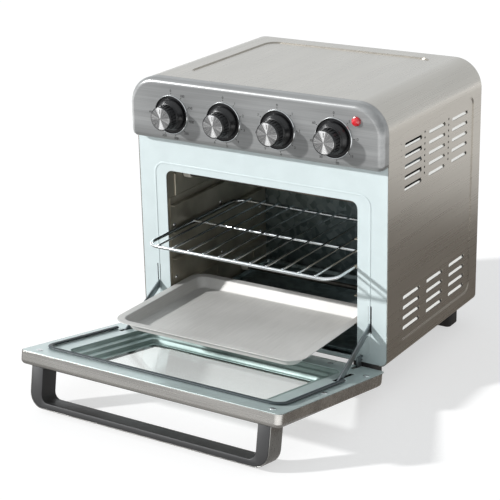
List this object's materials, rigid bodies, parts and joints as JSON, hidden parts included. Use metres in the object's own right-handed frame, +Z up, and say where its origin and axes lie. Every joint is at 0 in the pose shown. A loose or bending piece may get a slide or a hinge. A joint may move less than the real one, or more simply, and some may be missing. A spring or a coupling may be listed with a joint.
{
  "type": "toaster oven",
  "caption": "Counter-top toaster oven with a drop-down glass door, turned controls, wire rack, baking tray and convection fan, shown open.",
  "frame": {"origin": "bottom centre of the box round the oven with its door open, at table height", "axes": "+Z up, +X to the right of someone facing the door, +Y to the oven's back"},
  "size_m": [0.385, 0.5584, 0.3815],
  "materials": {
    "brushed_stainless": "brushed",
    "pale_steel": "smooth satin",
    "zinc_plate": "zinc plated",
    "black_plastic": "matte",
    "satin_metal": "turned",
    "bright_wire": "plated",
    "tray_metal": "pressed",
    "heater_sheath": "matte",
    "motor_steel": "matte",
    "control_plastic": "moulded",
    "red_lens": "clear red",
    "window_glass": "tempered",
    "seal_rubber": "silicone",
    "dark_enamel": "enamel"
  },
  "bodies": {
    "housing": {"base_plate": "zinc_plate", "cavity_back": "zinc_plate", "cavity_floor": "zinc_plate", "cavity_left_wall": "zinc_plate", "cavity_right_wall": "zinc_plate", "cavity_roof": "zinc_plate", "control_panel": "brushed_stainless", "cord_gland": "black_plastic", "fan_guard": "zinc_plate", "fan_housing": "zinc_plate", "fan_motor": "motor_steel", "front_left_foot": "black_plastic", "front_plate": "pale_steel", "front_right_foot": "black_plastic", "fry_timer_control": "control_plastic", "function_control": "control_plastic", "indicator_lens": "red_lens", "left_hinge_bracket": "zinc_plate", "left_shelf_guide": "zinc_plate", "lower_front_heater": "heater_sheath", "lower_rear_heater": "heater_sheath", "outer_shell": "brushed_stainless", "rear_cover": "zinc_plate", "rear_left_foot": "black_plastic", "rear_right_foot": "black_plastic", "right_hinge_bracket": "zinc_plate", "right_shelf_guide": "zinc_plate", "temperature_control": "control_plastic", "toast_timer_control": "control_plastic", "upper_front_heater": "heater_sheath", "upper_rear_heater": "heater_sheath"},
    "door": {"door_pan": "brushed_stainless", "door_inner_panel": "pale_steel", "window_surround": "dark_enamel", "door_glass": "window_glass", "door_gasket": "seal_rubber", "handle_grip": "black_plastic", "handle_trim": "brushed_stainless", "left_handle_screw": "zinc_plate", "right_handle_screw": "zinc_plate", "left_hinge_stud": "zinc_plate", "right_hinge_stud": "zinc_plate"},
    "left_arm": {"left_hinge_arm": "zinc_plate"},
    "right_arm": {"right_hinge_arm": "zinc_plate"},
    "rack": {"wire_rack": "bright_wire"},
    "tray": {"baking_tray": "tray_metal"},
    "crumbs": {"crumb_tray": "tray_metal"},
    "fan": {"fan_blade": "zinc_plate"},
    "temperature": {"temperature_knob": "black_plastic", "temperature_knob_cap": "satin_metal", "temperature_shaft": "zinc_plate"},
    "function": {"function_knob": "black_plastic", "function_knob_cap": "satin_metal", "function_shaft": "zinc_plate"},
    "toast_timer": {"toast_timer_knob": "black_plastic", "toast_timer_knob_cap": "satin_metal", "toast_timer_shaft": "zinc_plate"},
    "fry_timer": {"fry_timer_knob": "black_plastic", "fry_timer_knob_cap": "satin_metal", "fry_timer_shaft": "zinc_plate"}
  },
  "joints": [
    {"name": "door_hinge", "type": "hinge", "parent": "housing", "child": "door", "pos_m": [0, -0.0129, 0.0273], "axis": [-1, 0, 0], "range_deg": [0, 79.4]},
    {"name": "tray_slide", "type": "slide", "parent": "housing", "child": "tray", "axis": [0, 1, 0], "range_m": [0, 0.1882]},
    {"name": "rack_slide", "type": "slide", "parent": "housing", "child": "rack", "axis": [0, 1, 0], "range_m": [0, 0.0822]},
    {"name": "left_arm_pivot", "type": "hinge", "parent": "door", "child": "left_arm", "pos_m": [-0.1648, -0.09228, 0.03808], "axis": [-1, 0, 0], "range_deg": [-39.8, 0]},
    {"name": "right_arm_pivot", "type": "hinge", "parent": "door", "child": "right_arm", "pos_m": [0.1648, -0.09228, 0.03808], "axis": [-1, 0, 0], "range_deg": [-39.8, 0]},
    {"name": "crumb_tray_slide", "type": "slide", "parent": "housing", "child": "crumbs", "axis": [0, 1, 0], "range_m": [-0.05, 0]},
    {"name": "fan_spin", "type": "hinge", "parent": "housing", "child": "fan", "pos_m": [0, 0.1345, 0.28], "axis": [0, 0, 1], "continuous": true},
    {"name": "temperature_turn", "type": "hinge", "parent": "housing", "child": "temperature", "pos_m": [-0.1218, -0.0221, 0.3346], "axis": [0, 1, 0], "range_deg": [0, 270]},
    {"name": "function_turn", "type": "hinge", "parent": "housing", "child": "function", "pos_m": [-0.0406, -0.0221, 0.3346], "axis": [0, 1, 0], "range_deg": [0, 240]},
    {"name": "toast_timer_turn", "type": "hinge", "parent": "housing", "child": "toast_timer", "pos_m": [0.0406, -0.0221, 0.3346], "axis": [0, 1, 0], "range_deg": [0, 300]},
    {"name": "fry_timer_turn", "type": "hinge", "parent": "housing", "child": "fry_timer", "pos_m": [0.1218, -0.0221, 0.3346], "axis": [0, 1, 0], "range_deg": [0, 300]}
  ],
  "couplings": [
    {"joint": "tray_slide", "follows": "door_hinge", "m_per_rad": 0.13566},
    {"joint": "rack_slide", "follows": "door_hinge", "m_per_rad": 0.059172},
    {"joint": "left_arm_pivot", "follows": "door_hinge", "ratio": -0.5},
    {"joint": "right_arm_pivot", "follows": "door_hinge", "ratio": -0.5}
  ]
}
